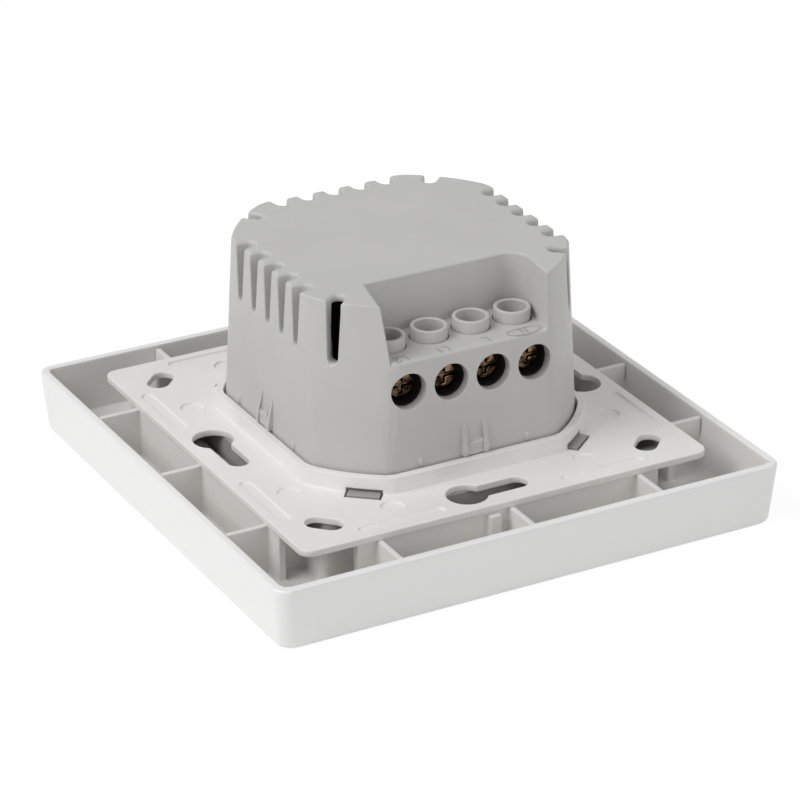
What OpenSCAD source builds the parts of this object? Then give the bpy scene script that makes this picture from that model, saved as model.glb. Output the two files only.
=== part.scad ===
// Two-gang smart light switch, lying on its front face.
// Millimetres. Z = 0 is the front face, +Z points into the wall, the origin is the middle of the front.
// The wiring terminals are on the -Y side.

/* [Cover frame] */
// Width and height of the cover frame at its rear rim
frame_w = 86; // [82:0.5:92]
// Depth of the cover frame from its front face to its rim
frame_h = 10.4; // [10:0.2:13]
// How far each side draws in from the rim to the front face
frame_draft = 0.8; // [0.2:0.1:1.4]
// Thickness of the outer wall
frame_wall = 1.6; // [1.2:0.1:2.2]
// Radius of the upright corners
frame_corner_r = 2.2; // [1.6:0.1:4]
// Radius that rounds the front face's edge
frame_edge_r = 1.1; // [0.6:0.1:1.5]
// Thickness of the front face
frame_skin = 2; // [1.4:0.1:2.4]
// Width of the square opening that the buttons fill
well_w = 55.6; // [54.6:0.2:56.6]
// Thickness of the wall round that opening
well_wall = 1.2; // [1:0.1:1.5]
// Height of the wall round that opening
well_h = 6.8; // [6.4:0.1:7.2]
// Thickness of the stiffening ribs
rib_t = 0.9; // [0.7:0.1:1.4]
// Distance from the middle rib to the ribs beside it
rib_pitch = 22.3; // [21.5:0.1:24]

/* [Mounting plate] */
// Width and height of the plate
plate_w = 69.8; // [69:0.1:71]
// Thickness of the plate
plate_t = 1.1; // [1:0.1:1.5]
// Corner radius of the plate
plate_r = 2; // [1:0.5:4]
// Depth of the plate's front face below the frame's rim
plate_sink = 0.4; // [0.2:0.1:0.6]
// Distance of each fixing slot from the middle
fixing_r = 30; // [29.5:0.1:30.2]
// Sideways offset of each keyhole's round head
key_offset = 5; // [4.5:0.1:6]
// Radius of a keyhole's round head
key_head_r = 3.2; // [3:0.1:3.4]
// Radius of a keyhole's narrow end
key_slot_r = 1.75; // [1.6:0.05:1.9]
// Travel of a screw along a keyhole
key_travel = 8.6; // [8:0.1:9]
// Height of the collar that stands round the module
lip_h = 2.7; // [2.3:0.1:2.8]
// Thickness of that collar
lip_t = 1.25; // [1.1:0.05:1.4]
// Gap between the collar and the rear housing
lip_gap = 0.25; // [0.15:0.05:0.3]

/* [Rear housing] */
// Depth of the housing behind the mounting plate
body_depth = 29.3; // [29:0.1:32]
// Half width of the housing at its rear face
body_half = 22.7; // [22.5:0.1:23.2]
// Corner radius of the housing about its own axis at its rear face
body_r = 25.8; // [25.4:0.1:26.4]
// Draft angle of the flat sides
side_draft = 1.3; // [0.8:0.1:1.6]
// Draft angle of the corners
corner_draft = 3.15; // [2.6:0.05:3.3]
// Thickness of the side wall
body_wall = 1.6; // [1.4:0.1:1.8]
// Thickness of the rear wall
rear_wall = 1.4; // [1.2:0.1:1.8]
// Number of vent grooves on a side
vent_count = 5; // [3:1:5]
// Distance between vent grooves
vent_pitch = 4.6; // [4.3:0.1:4.8]
// Width of a vent groove at its mouth
vent_w = 2.5; // [2:0.1:2.8]
// Width of a vent groove at its foot
vent_foot_w = 1.3; // [1:0.1:1.8]
// Depth of a vent groove into the side
vent_depth = 2.5; // [2.2:0.1:2.8]
// Length of a vent groove down the side
vent_len = 9.4; // [8:0.1:10]
// Depth of the terminal recess below the rear face
recess_depth = 8.9; // [8.6:0.1:9.2]
// Reach of the terminal recess into the rear face from the housing's side
recess_in = 10.1; // [10:0.1:10.2]

/* [Terminals] */
// Distance between neighbouring terminals
term_pitch = 7.2; // [7:0.05:7.3]
// Distance of the screw axes below the rear face
screw_drop = 13.9; // [13.7:0.1:14]
// Radius of the screwdriver holes
driver_r = 2.88; // [2.86:0.02:2.94]
// Radius of a screw's head
head_r = 2.3; // [2.1:0.05:2.35]
// Thickness of a screw's head
head_t = 1.2; // [1:0.1:1.3]
// Radius of a screw's shank
shank_r = 1.5; // [1.3:0.05:1.6]
// Outer radius of a wire collar
collar_r = 2.86; // [2.76:0.02:2.9]
// Wall of a wire collar
collar_wall = 0.65; // [0.5:0.05:0.8]
// Height of a wire collar above the ledge
collar_h = 1.9; // [1.6:0.1:2.2]
// Distance of the wire collars in from the housing's side
collar_in = 6.2; // [6:0.05:6.3]
// Travel of a clamp cage
cage_travel = 1; // [0.8:0.1:1.1]
// Sheet thickness of a clamp cage
cage_t = 0.8; // [0.6:0.05:0.85]

/* [Buttons] */
// Gap between a button and what is beside it
button_gap = 0.4; // [0.3:0.05:0.6]
// Depth of the buttons' faces below the frame's front face
button_sink = 0.3; // [0.2:0.05:0.5]
// Thickness of a button's face
button_skin = 1.8; // [1.4:0.1:2]
// Depth of a button's skirt, face included
button_skirt = 3.6; // [3:0.1:4]
// Distance of the pivot from the middle
pivot_y = 24.2; // [23.8:0.1:24.6]
// Radius of a pivot pin
pin_r = 0.8; // [0.6:0.05:0.9]
// Distance of the push switches from the middle, on the side away from the pivot
press_y = 2; // [0:0.5:2]

/* [Front shell] */
// Distance of the shell's front from the frame's front face
shell_z = 5.6; // [5.5:0.05:5.8]
// Thickness of the shell's floor
shell_t = 1.6; // [1.4:0.1:1.7]
// Gap between the shell and the wall round the opening
shell_gap = 0.6; // [0.4:0.1:0.8]
// Distance of the case screws in from the housing's sides
boss_in = 4.4; // [4.3:0.1:4.6]
// Distance of the case screws from the middle, lengthways
boss_y = 8; // [7.4:0.1:8.2]

/* [Circuit boards] */
// Thickness of the power board
power_t = 1.6; // [1.2:0.1:1.8]
// Thickness of the logic board
logic_t = 1.2; // [1:0.1:1.4]
// Distance from the housing's rear face to the power board
power_drop = 19.8; // [19.6:0.1:20]
// Height of the relays
relay_h = 15; // [12:0.5:15.6]
// Radius of the reservoir capacitor
cap_r = 4; // [3.5:0.25:4.25]
// Height of the reservoir capacitor
cap_h = 14; // [10:0.5:15]

/* [Hidden] */
$fn = 48;
fit_gap = 0.05;
big = 120;
plate_z = frame_h - plate_sink;
plate_top = plate_z + plate_t;
lip_top = plate_top + lip_h;
body_z = plate_top + body_depth;
shell_top = shell_z + shell_t;
body_foot = shell_top + 0.2;
ledge_z = body_z - recess_depth;
ledge_t = 1.5;
well_half = well_w / 2;
well_out = well_half + well_wall;
plate_half = plate_w / 2;

// Snap lugs under the mounting plate, and windows at the foot of its collar
lug_x = 16.6;
lug_w = 5;
lug_t = 1.2;
lug_z = 4.8;
window_angles = [50.7, 129.3, 230.7, 309.3];
window_w = 5.6;
window_in = 27.9;
window_out = 30.5;

// Groove belt: the wall stands back behind the vent grooves
belt_in = vent_depth + 1.8;
belt_z = body_z - vent_len - 1.4;
belt_y = (vent_count * vent_pitch) / 2 + 0.4;
corner_vent_w = 2.1;
corner_vent_foot_w = 1.7;
corner_vent_depth = 2.9;
corner_vent_len = 10;
corner_vents = [219, 321.5, 50, 130];
crease_trim = 0.2;
recess_back = body_half - recess_in;
boss_x = body_half - boss_in;
boss_r = 2.2;
recess_left = 11.6;
recess_left_splay = 0.22;
recess_left_draft = 1.3;
recess_right = 13.9;
recess_right_splay = 0.1;
recess_r = 3;
recess_wall = 1.6;

term_x0 = -0.15;
collar_shift = -0.35;
function term_x(i) = term_x0 + (i - 1.5) * term_pitch;
function collar_x(i) = term_x(i) + collar_shift;
screw_z = body_z - screw_drop;
power_top = body_z - power_drop;
power_z = power_top - power_t;
collar_y = body_half - collar_in;
head_in = 2.4;
head_y = head_in - body_half;
shank_y = head_y + head_t;
cage_gap = 0.2;
cage_y = shank_y + cage_travel + cage_gap;
cage_half = 2.6;
cage_h = 4.2;
tongue_t = 0.8;
tongue_y = cage_y + cage_t + cage_gap;
cage_end = tongue_y + tongue_t + 2.7 + cage_t;
block_lip = 0.9;
block_front = head_y - block_lip;
block_back = cage_end + 0.2 + 0.8;
block_half = 2 * term_pitch + 0.05;
block_top = ledge_z - ledge_t - 1.1;
block_floor = 1.4;
guide_t = 0.7;
collar_top = ledge_z + collar_h;

button_z = button_sink + button_skin;
button_w = well_half - 1.5 * button_gap;
button_x = button_gap / 2 + button_w / 2;
button_l = well_w - 2 * button_gap;
skirt_t = 1;
pivot_z = button_z + 1.8;
ear_t = 1.6;
ear_x = 7;
post_t = 1.8;
post_x = ear_x + ear_t / 2 + 0.2 + post_t / 2;
pin_len = 2 * post_x + post_t + 0.4;
press_gap = 0.1;
plunger_r = 1.7;
switch_w = 6;
logic_z = shell_top + 1.8;
logic_top = logic_z + logic_t;
plunger_tip = shell_z - 1.1;
plunger_len = 2.4;
hook_in = 2.7;
hook_y = hook_in - body_half;
hook_t = 0.9;
lens_y = -14;
lens_w = 5;
lens_h = 1.2;

tube_r = 2.7;
screw_head_r = 1.85;
screw_head_t = 1.4;
case_shank_r = 1;
case_len = 11;
seat_z = power_z - 4;
header_in = 8.3;
header_y = body_half - header_in;
header_n = 8;
header_pitch = 2.54;
header_w = 2.5;

// Three columns of tall components between the case screws' bosses
part_gap = 0.5;
bay_half = boss_x - boss_r - 0.2;
relay_w = (2 * bay_half - 3.6 * part_gap) / 3;
relay_l = 18.4;
relay_y = block_back + 0.9;
relay_x = [bay_half - relay_w / 2, bay_half - part_gap - 1.5 * relay_w];
side_x = 2 * part_gap + relay_w - relay_x[1];
core_l = 13;
core_h = 12;
core_foot = 2;
core_slot = 0.9;
core_slot_h = 7;
cap_y = relay_y + core_l + 0.4 + cap_r;
filter_y = body_half - belt_in - 0.6;
filter_t = 4.6;
filter_h = 10.5;
filter_x = [-6, side_x - cap_r - 0.6];
disc_r = 3.4;
disc_t = 3;
disc_x = filter_x[0] - 1.9 - disc_r;
fuse_r = 1.5;
fuse_l = 7;
fuse_x = 7.4;
fuse_y = cap_y + cap_r + 1.1 + fuse_r;
lead_r = 0.35;
bridge_w = 5;
bridge_l = 4;
bridge_h = 2.4;
shield_w = 12;
shield_l = 15;
shield_h = 2.2;
shield_t = 0.3;
antenna_w = 18;
antenna_h = 3;
antenna_y = 3.3 + body_wall + 0.6 - body_half;
antenna_foot = 1.8;
antenna_gap = 2.4;
led_w = 3.2;
led_l = 1.6;
led_h = 1.3;

// Half width and corner radius of the housing at a height
function half_at(z) = body_half + (body_z - z) * tan(side_draft);
function radius_at(z) = body_r + (body_z - z) * tan(corner_draft);

// Half the angle between a flat side and the corner arc beside it, and the reach of the plane between them
function crease_angle(half, r) = acos(half / r) / 2;
function crease_half(half, r) = r * cos(crease_angle(half, r)) - crease_trim;

module rounded_square(w, r) {
  square([w, w - 2 * r], center = true);
  square([w - 2 * r, w], center = true);
  for (x = [-1, 1], y = [-1, 1])
    translate([x * (w / 2 - r), y * (w / 2 - r)]) circle(r = r);
}

// Square outline whose corners lie on a circle about the middle, with the creases taken off
module clipped_square(half, r) {
  intersection() {
    square(2 * half, center = true);
    circle(r = r, $fn = 96);
    rotate(crease_angle(half, r)) square(2 * crease_half(half, r), center = true);
    rotate(-crease_angle(half, r)) square(2 * crease_half(half, r), center = true);
  }
}

module four_sides() {
  for (i = [0:3]) rotate(90 * i) children();
}

module box(x0, x1, y0, y1, z0, z1) {
  translate([x0, y0, z0]) cube([x1 - x0, y1 - y0, z1 - z0]);
}

// Rounded square made of four discs, for the hulls of the cover frame
module corner_discs(half, r, z) {
  for (x = [-1, 1], y = [-1, 1])
    translate([x * (half - r), y * (half - r), z]) cylinder(r = r, h = 0.01, $fn = 32);
}

function frame_half(z) = frame_w / 2 - frame_draft * (1 - z / frame_h);

module frame_outside() {
  rim = 0.3;
  hull() {
    for (a = [0:30:90]) {
      z = frame_edge_r * (1 - cos(a));
      inset = frame_edge_r * (1 - sin(a));
      corner_discs(frame_half(z) - inset, frame_corner_r, z);
    }
    corner_discs(frame_half(frame_h - rim), frame_corner_r, frame_h - rim);
    corner_discs(frame_half(frame_h) - rim, frame_corner_r - rim / 2, frame_h - 0.01);
  }
}

module frame_pocket() {
  rim = 0.25;
  inner_r = max(frame_corner_r - frame_wall / 2, 0.6);
  hull() {
    corner_discs(frame_half(frame_skin) - frame_wall, inner_r, frame_skin);
    corner_discs(frame_half(frame_h - rim) - frame_wall, inner_r, frame_h - rim);
    corner_discs(frame_half(frame_h) - frame_wall + rim, inner_r, frame_h + 0.02);
  }
}

// Dish with a wall round the button opening and a straight wall under each edge of the plate
module cover_frame() {
  seat_out = plate_half - 0.4;
  seat_in = seat_out - 1.2;
  seat_half = 26;
  wall_in = frame_half(frame_skin) - frame_wall + 0.5;
  post_x = [-4.1, -2.2];
  post_out = plate_half + 0.8;
  notch_w = lug_w + 0.8;
  floor_z = frame_skin - 0.1;
  color([0.91, 0.91, 0.9]) difference() {
    union() {
      difference() {
        frame_outside();
        frame_pocket();
      }
      linear_extrude(well_h) rounded_square(2 * well_out, 1.2);
      four_sides() {
        box(-seat_half, seat_half, -seat_out, -seat_in, floor_z, plate_z);
        for (x = [-1, 0, 1] * rib_pitch) {
          box(x - rib_t / 2, x + rib_t / 2, -wall_in, -seat_out + 0.1, floor_z, plate_z);
          box(x - rib_t / 2, x + rib_t / 2, -seat_in - 0.1, -well_out + 0.1, floor_z, well_h);
        }
      }
      box(post_x[0], post_x[1], -post_out, -seat_out + 0.1, floor_z, plate_z - 0.4);
    }
    translate([0, 0, -1]) linear_extrude(well_h + 2) rounded_square(well_w, 0.8);
    four_sides() for (x = [-1, 1] * lug_x)
      box(x - notch_w / 2, x + notch_w / 2, -well_out - 0.3, -well_half + 0.3, lug_z - 0.2, well_h + 1);
  }
}

// Outline of a keyhole on the -Y side: a round head for the screw's head, then a narrow slot
module keyhole() {
  translate([-key_offset, -fixing_r]) circle(r = key_head_r);
  translate([-key_offset, -fixing_r - key_slot_r]) square([key_travel, 2 * key_slot_r]);
  translate([key_travel - key_offset, -fixing_r]) circle(r = key_slot_r);
}

module corner_slot() {
  half_len = 1.2;
  r = 1.75;
  for (s = [-1, 1]) translate([s * half_len, 0]) circle(r = r);
  square([2 * half_len, 2 * r], center = true);
}

module mounting_plate() {
  opening_half = half_at(plate_z) + lip_gap;
  opening_r = radius_at(plate_z) + lip_gap;
  corner_place = 28;
  groove_y = plate_half - 2.5;
  groove_r = 0.95;
  groove_x = [11.1, 23.5];
  pit_depth = 0.3;
  lug_y = well_out + 0.15;
  color([0.87, 0.87, 0.85]) difference() {
    union() {
      translate([0, 0, plate_z]) linear_extrude(plate_t) rounded_square(plate_w, plate_r);
      translate([0, 0, plate_z]) linear_extrude(plate_t + lip_h)
        clipped_square(opening_half + lip_t, opening_r + lip_t);
      four_sides() for (x = [-1, 1] * lug_x) {
        box(x - lug_w / 2, x + lug_w / 2, -lug_y - lug_t, -lug_y, lug_z, plate_z + 0.1);
        box(x - lug_w / 2, x + lug_w / 2, -lug_y - 0.1, -lug_y + 0.6, lug_z, lug_z + 1);
      }
    }
    translate([0, 0, plate_z - 1]) linear_extrude(lip_h + plate_t + 2)
      clipped_square(opening_half, opening_r);
    translate([0, 0, plate_z - 1]) linear_extrude(plate_t + 2) {
      four_sides() keyhole();
      for (a = [45:90:315]) rotate(a) translate([corner_place * sqrt(2), 0]) rotate(90) corner_slot();
    }
    for (a = window_angles) rotate(a)
      box(window_in, window_out, -window_w / 2, window_w / 2, plate_z - 1, plate_top + 0.7);
    four_sides() for (s = [-1, 1]) {
      translate([s * lug_x, -corner_place, plate_top - pit_depth]) cylinder(r = 1.75, h = 1);
      for (x = groove_x) translate([s * x, -groove_y, plate_top - pit_depth]) cylinder(r = groove_r, h = 1);
      translate([s > 0 ? groove_x[0] : -groove_x[1], -groove_y - groove_r, plate_top - pit_depth])
        cube([groove_x[1] - groove_x[0], 2 * groove_r, 1]);
    }
  }
}

// Solid between two heights that follows the housing's drafted outside, drawn in by an inset
module drafted(z0, z1, inset) {
  intersection() {
    translate([0, 0, z0])
      cylinder(h = z1 - z0, r1 = radius_at(z0) - inset, r2 = radius_at(z1) - inset, $fn = 96);
    intersection_for (i = [0:3], s = [-1, 0, 1]) {
      reach = s == 0 ? body_half : crease_half(body_half, body_r);
      draft = s == 0 ? side_draft : (side_draft + corner_draft) / 2;
      rotate(90 * i + s * crease_angle(body_half, body_r))
        translate([reach - inset, 0, body_z]) rotate([0, -draft, 0])
          translate([-big, -big / 2, -big / 2]) cube(big);
    }
  }
}

// Points of an arc
function arc(centre, r, from, to, n) =
  [for (k = [0:n]) centre + r * [cos(from + (to - from) * k / n), sin(from + (to - from) * k / n)]];

// Round-ended groove that narrows down the side to a round foot; +X points out of the wall, the top is at
// the rear face
module vent_cut(mouth, foot, depth, length) {
  end_r = 0.45 * mouth;
  foot_r = foot / 2;
  intersection() {
    translate([0, 0, -length]) linear_extrude(length + 1) {
      translate([end_r - depth, 0]) circle(r = end_r);
      polygon([[end_r - depth, -end_r], [2, -mouth / 2 - 0.3], [2, mouth / 2 + 0.3],
               [end_r - depth, end_r]]);
    }
    translate([3, 0, 0]) rotate([90, 0, -90]) linear_extrude(depth + 4)
      polygon(concat([[-mouth / 2 - 0.2, 1]], arc([0, foot_r - length], foot_r, 180, 360, 4),
                     [[mouth / 2 + 0.2, 1]]));
  }
}

// Space cut for the terminal recess, grown by a wall. Both side walls turn towards -X as they come
// forward, the left one leans out towards the rear face, and the corner behind the right one is round.
module recess_space(grow) {
  back = grow - recess_back;
  turn = atan(recess_right_splay);
  r = recess_r + grow;
  corner_x = recess_right + grow;
  centre = [corner_x - r * (1 + sin(turn)) / cos(turn), back - r];
  intersection() {
    translate([0, 0, ledge_z - grow]) linear_extrude(big)
      polygon(concat([[-big, back], [-big, -big], [corner_x - (big + back) * recess_right_splay, -big]],
                     arc(centre, r, -turn, 90, 12)));
    translate([-recess_left - grow, -recess_back, ledge_z]) rotate([0, 0, -atan(recess_left_splay)])
      rotate([0, -atan(recess_left_draft / recess_depth), 0])
        translate([0, -big / 2, -big / 2]) cube(big);
  }
}

// Snap catch on a side of the housing: two ribs and the bar between them
module snap_catch() {
  catch_z = lip_top + 0.1;
  top_z = catch_z + 6.4;
  reach = 1.1;
  face = half_at(catch_z) - 0.3;
  spread = 1.75;
  rib_w = 0.9;
  for (s = [-1, 1]) translate([s * spread - rib_w / 2, -face, 0])
    rotate([90, 0, 90]) linear_extrude(rib_w)
      polygon([[0.3, catch_z], [-reach, catch_z], [-reach, catch_z + 0.9], [0, top_z], [0.3, top_z]]);
  box(-spread, spread, -face - 0.75, -face + 0.3, catch_z, catch_z + 2.1);
  for (s = [-1, 1]) box(s * 9.2 - 0.4, s * 9.2 + 0.4, -face - 0.55, -face + 0.3, catch_z, catch_z + 1.3);
}

module rear_housing() {
  upper = [belt_z, body_z - rear_wall];
  color([0.75, 0.75, 0.73]) difference() {
    union() {
      difference() {
        union() {
          drafted(body_foot, body_z, 0);
          four_sides() snap_catch();
        }
        drafted(body_foot - 1, belt_z + 0.5, body_wall);
        difference() {
          union() {
            drafted(upper[0], upper[1], belt_in);
            intersection() {
              drafted(upper[0], upper[1], body_wall + 0.2);
              union() {
                box(-big, big, -big, -recess_back + recess_wall, 0, big);
                for (x = [-big, belt_y]) box(x, x + big - belt_y, belt_y, big, 0, big);
              }
            }
          }
          recess_space(recess_wall);
        }
      }
      for (x = [-1, 1] * boss_x, y = [-1, 1] * boss_y)
        translate([x, y, power_top]) cylinder(r = boss_r, h = belt_z - power_top + 1);
    }
    recess_space(0);
    for (x = [-1, 1] * boss_x, y = [-1, 1] * boss_y)
      translate([x, y, power_top - 1]) cylinder(r = case_shank_r + fit_gap, h = case_len - 2);
    for (i = [0:3]) {
      translate([term_x(i), -big / 4, screw_z]) rotate([-90, 0, 0])
        cylinder(r = driver_r, h = big / 4 + shank_y + 0.1);
      translate([collar_x(i), -collar_y, ledge_z - 4])
        cylinder(r = collar_r + 0.15, h = collar_h + 4.3);
    }
    for (a = [0, 90, 180], k = [0:vent_count - 1])
      rotate(a) translate([body_half, (k - (vent_count - 1) / 2) * vent_pitch, body_z])
        vent_cut(vent_w, vent_foot_w, vent_depth, vent_len);
    for (a = corner_vents)
      rotate(a) translate([body_r, 0, body_z])
        vent_cut(corner_vent_w, corner_vent_foot_w, corner_vent_depth, corner_vent_len);
  }
}

module front_shell() {
  half = well_half - shell_gap;
  ring_out = body_wall + 0.15;
  ring_t = 1;
  ring_h = 4.6;
  tab_w = window_w - 0.6;
  hook_w = 4.6;
  hook_gap = 0.35;
  color([0.75, 0.75, 0.73]) difference() {
    union() {
      translate([0, 0, shell_z]) linear_extrude(shell_t) rounded_square(2 * half, 2);
      difference() {
        translate([0, 0, shell_z]) linear_extrude(plate_z - shell_z) rounded_square(2 * half, 2);
        translate([0, 0, shell_z - 1]) linear_extrude(plate_z) rounded_square(2 * half - 2.8, 1.2);
      }
      difference() {
        drafted(shell_z + 0.1, shell_top + ring_h, ring_out);
        drafted(shell_z, shell_top + ring_h + 1, ring_out + ring_t);
      }
      for (x = [-1, 1] * boss_x, y = [-1, 1] * boss_y)
        translate([x, y, shell_z]) cylinder(r = tube_r, h = power_z - shell_z);
      for (a = window_angles) rotate(a)
        box(window_in + 0.3, window_out - 0.3, -tab_w / 2, tab_w / 2, shell_z + 0.1, plate_top + 0.2);
      for (s = [-1, 1], p = [-1, 1])
        translate([s * button_x + p * post_x - post_t / 2, pivot_y, 0]) {
          box(0, post_t, -1.6, 1.6, pivot_z, shell_z + 0.1);
          translate([0, 0, pivot_z]) rotate([0, 90, 0]) cylinder(r = 1.5, h = post_t);
        }
    }
    for (x = [-1, 1] * boss_x, y = [-1, 1] * boss_y) {
      translate([x, y, shell_z - 1]) cylinder(r = screw_head_r + 0.15, h = seat_z - shell_z + 1);
      translate([x, y, seat_z - 1]) cylinder(r = case_shank_r + 0.1, h = 6);
    }
    for (s = [-1, 1]) {
      translate([s * button_x - post_x - post_t, pivot_y, pivot_z]) rotate([0, 90, 0])
        cylinder(r = pin_r + fit_gap, h = 2 * post_x + 2 * post_t);
      translate([s * button_x, -press_y, shell_z - 1]) linear_extrude(shell_t + 2)
        square(switch_w + 0.6, center = true);
      translate([s * button_x, lens_y, shell_z - 1]) cylinder(r = 1.8, h = shell_t + 2);
      translate([s * button_x, hook_y, 0]) {
        box(-hook_w / 2, hook_w / 2, -hook_gap, hook_t + hook_gap, shell_z - 1, shell_top + 1);
        box(-hook_w / 2, hook_w / 2, -hook_gap, hook_t + 1.3, shell_top, shell_top + 2.4);
      }
    }
  }
}

// Button centred on its own middle line
module button() {
  half_l = button_l / 2;
  half_w = button_w / 2;
  actuator_r = 1.4;
  ear_r = 1.3;
  arm_w = 3.6;
  catch_z = shell_top + 0.15;
  rib_y = 9;
  difference() {
    union() {
      translate([0, 0, button_sink]) linear_extrude(button_skin) soft_rect(button_w, button_l, 0.8);
      difference() {
        translate([0, 0, button_sink]) linear_extrude(button_skirt) soft_rect(button_w, button_l, 0.8);
        box(-half_w + skirt_t, half_w - skirt_t, -half_l + skirt_t, half_l - skirt_t, button_sink, shell_z);
      }
      for (s = [-1, 1]) translate([s * ear_x - ear_t / 2, pivot_y, 0]) {
        box(0, ear_t, -ear_r, ear_r, button_z - 0.1, pivot_z);
        translate([0, 0, pivot_z]) rotate([0, 90, 0]) cylinder(r = ear_r, h = ear_t);
      }
      translate([0, -press_y, button_z - 0.1])
        cylinder(r = actuator_r, h = plunger_tip - press_gap - button_z + 0.1);
      box(-arm_w / 2, arm_w / 2, hook_y, hook_y + hook_t, button_z - 0.1, catch_z + 0.7);
      box(-arm_w / 2, arm_w / 2, hook_y - 0.1, hook_y + hook_t, catch_z, catch_z + 0.7);
      translate([-arm_w / 2, hook_y + hook_t - 0.1, catch_z]) cube([arm_w, 0.8, 0.7]);
      for (y = [-1, 1] * rib_y)
        box(-half_w + 0.5, half_w - 0.5, y - 0.4, y + 0.4, button_z - 0.1, button_z + 0.8);
    }
    translate([-ear_x - ear_t, pivot_y, pivot_z]) rotate([0, 90, 0])
      cylinder(r = pin_r + fit_gap, h = 2 * ear_x + 2 * ear_t);
    translate([0, lens_y, -1]) linear_extrude(button_z + 2)
      square([lens_w + 2 * fit_gap, lens_h + 2 * fit_gap], center = true);
  }
}

module soft_rect(w, l, r) {
  square([w, l - 2 * r], center = true);
  square([w - 2 * r, l], center = true);
  for (x = [-1, 1], y = [-1, 1]) translate([x * (w / 2 - r), y * (l / 2 - r)]) circle(r = r);
}

module button_at(side) {
  color([0.92, 0.92, 0.91]) translate([side * button_x, 0, 0]) button();
}

// Light bar let into a button, with a flange behind the face
module lens(side) {
  color([0.85, 0.93, 0.96]) translate([side * button_x, lens_y, 0]) {
    translate([0, 0, button_sink + 0.05]) linear_extrude(button_skin)
      square([lens_w, lens_h], center = true);
    translate([0, 0, button_z]) linear_extrude(0.8) square([lens_w + 1.6, lens_h + 1.6], center = true);
  }
}

module pivot_pin(side) {
  color([0.7, 0.71, 0.73]) translate([side * button_x - pin_len / 2, pivot_y, pivot_z])
    rotate([0, 90, 0]) cylinder(r = pin_r, h = pin_len);
}

module terminal_block() {
  pocket_half = cage_half + 0.15;
  bore_r = driver_r - 0.02;
  color([0.1, 0.1, 0.1]) difference() {
    intersection() {
      box(term_x0 - block_half, term_x0 + block_half, block_front, block_back, power_top, block_top);
      drafted(power_top - 1, block_top + 1, body_wall + 0.2);
    }
    for (i = [0:3]) translate([term_x(i), 0, 0]) {
      box(-pocket_half, pocket_half, shank_y + 0.1, cage_end + 0.2, power_top + block_floor, big);
      translate([0, block_front - 1, screw_z]) rotate([-90, 0, 0])
        cylinder(r = bore_r, h = shank_y - block_front + 1.2);
      box(-2, 2, tongue_y - 0.1, tongue_y + tongue_t + 0.1, power_top - 1, power_top + block_floor + 1);
    }
  }
}

module wire_guide() {
  color([0.76, 0.76, 0.74]) difference() {
    union() {
      box(term_x0 - block_half + 0.2, term_x0 + block_half - 0.2, -collar_y - collar_r - 0.4,
          -recess_back - 0.2, block_top, block_top + guide_t);
      for (i = [0:3]) translate([collar_x(i), -collar_y, block_top])
        cylinder(r = collar_r, h = collar_top - block_top);
    }
    for (i = [0:3]) translate([collar_x(i), -collar_y, block_top - 1])
      cylinder(r = collar_r - collar_wall, h = collar_top - block_top + 2);
  }
}

// Screw with a cross and a slot in its head, pointing along +Y
module terminal_screw(i) {
  slot_deep = 0.7;
  slot_half = 0.33;
  cross_half = 1.45;
  color([0.42, 0.33, 0.2]) translate([term_x(i), 0, screw_z]) difference() {
    union() {
      translate([0, head_y, 0]) rotate([-90, 0, 0]) cylinder(r1 = head_r - 0.3, r2 = head_r, h = 0.35);
      translate([0, head_y + 0.35, 0]) rotate([-90, 0, 0]) cylinder(r = head_r, h = head_t - 0.35);
      translate([0, shank_y - 0.1, 0]) rotate([-90, 0, 0]) cylinder(r = shank_r, h = tongue_y - shank_y);
    }
    box(-head_r - 1, head_r + 1, head_y - 1, head_y + slot_deep, -slot_half, slot_half);
    box(-slot_half, slot_half, head_y - 1, head_y + slot_deep, -cross_half, cross_half);
  }
}

module clamp_cage(i) {
  side_t = 0.6;
  color([0.72, 0.62, 0.3]) translate([term_x(i), 0, screw_z]) difference() {
    box(-cage_half, cage_half, cage_y, cage_end, -cage_h / 2, cage_h / 2);
    box(-cage_half + side_t, cage_half - side_t, cage_y + cage_t, cage_end - cage_t, -cage_h, cage_h);
    translate([0, cage_y - 1, 0]) rotate([-90, 0, 0]) cylinder(r = shank_r + fit_gap, h = cage_t + 2);
  }
}

// Fixed tongue that the wire is clamped against, soldered into the power board
module contact(i) {
  blade_half = 1.8;
  foot_half = 0.6;
  foot_out = 1.4;
  color([0.8, 0.62, 0.35]) translate([term_x(i), 0, 0]) {
    box(-blade_half, blade_half, tongue_y, tongue_y + tongue_t,
        power_top + 0.1, screw_z + cage_h / 2 - 0.2);
    box(-foot_half, foot_half, tongue_y, tongue_y + tongue_t, power_z - foot_out, power_top + 0.2);
  }
}

module power_board() {
  slot_half = 0.7;
  color([0.1, 0.32, 0.18]) difference() {
    translate([0, 0, power_z]) linear_extrude(power_t) difference() {
      clipped_square(body_half - body_wall - 0.5, body_r - body_wall - 0.4);
      for (x = [-1, 1] * boss_x, y = [-1, 1] * boss_y) translate([x, y]) circle(r = case_shank_r + 0.2);
    }
    for (i = [0:3]) translate([term_x(i), tongue_y, 0])
      box(-slot_half, slot_half, -0.1, tongue_t + 0.1, power_z - 1, big);
  }
}

module relay(x) {
  color([0.08, 0.08, 0.09]) translate([x, relay_y, power_top]) {
    box(-relay_w / 2, relay_w / 2, 0, relay_l, 0.4, relay_h);
    for (p = [[-3.6, 1.4], [3.6, 1.4], [-3.6, 16.6], [3.6, 16.6]])
      translate([p[0], p[1], 0]) cylinder(r = 1.2, h = 0.5);
  }
}

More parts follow.
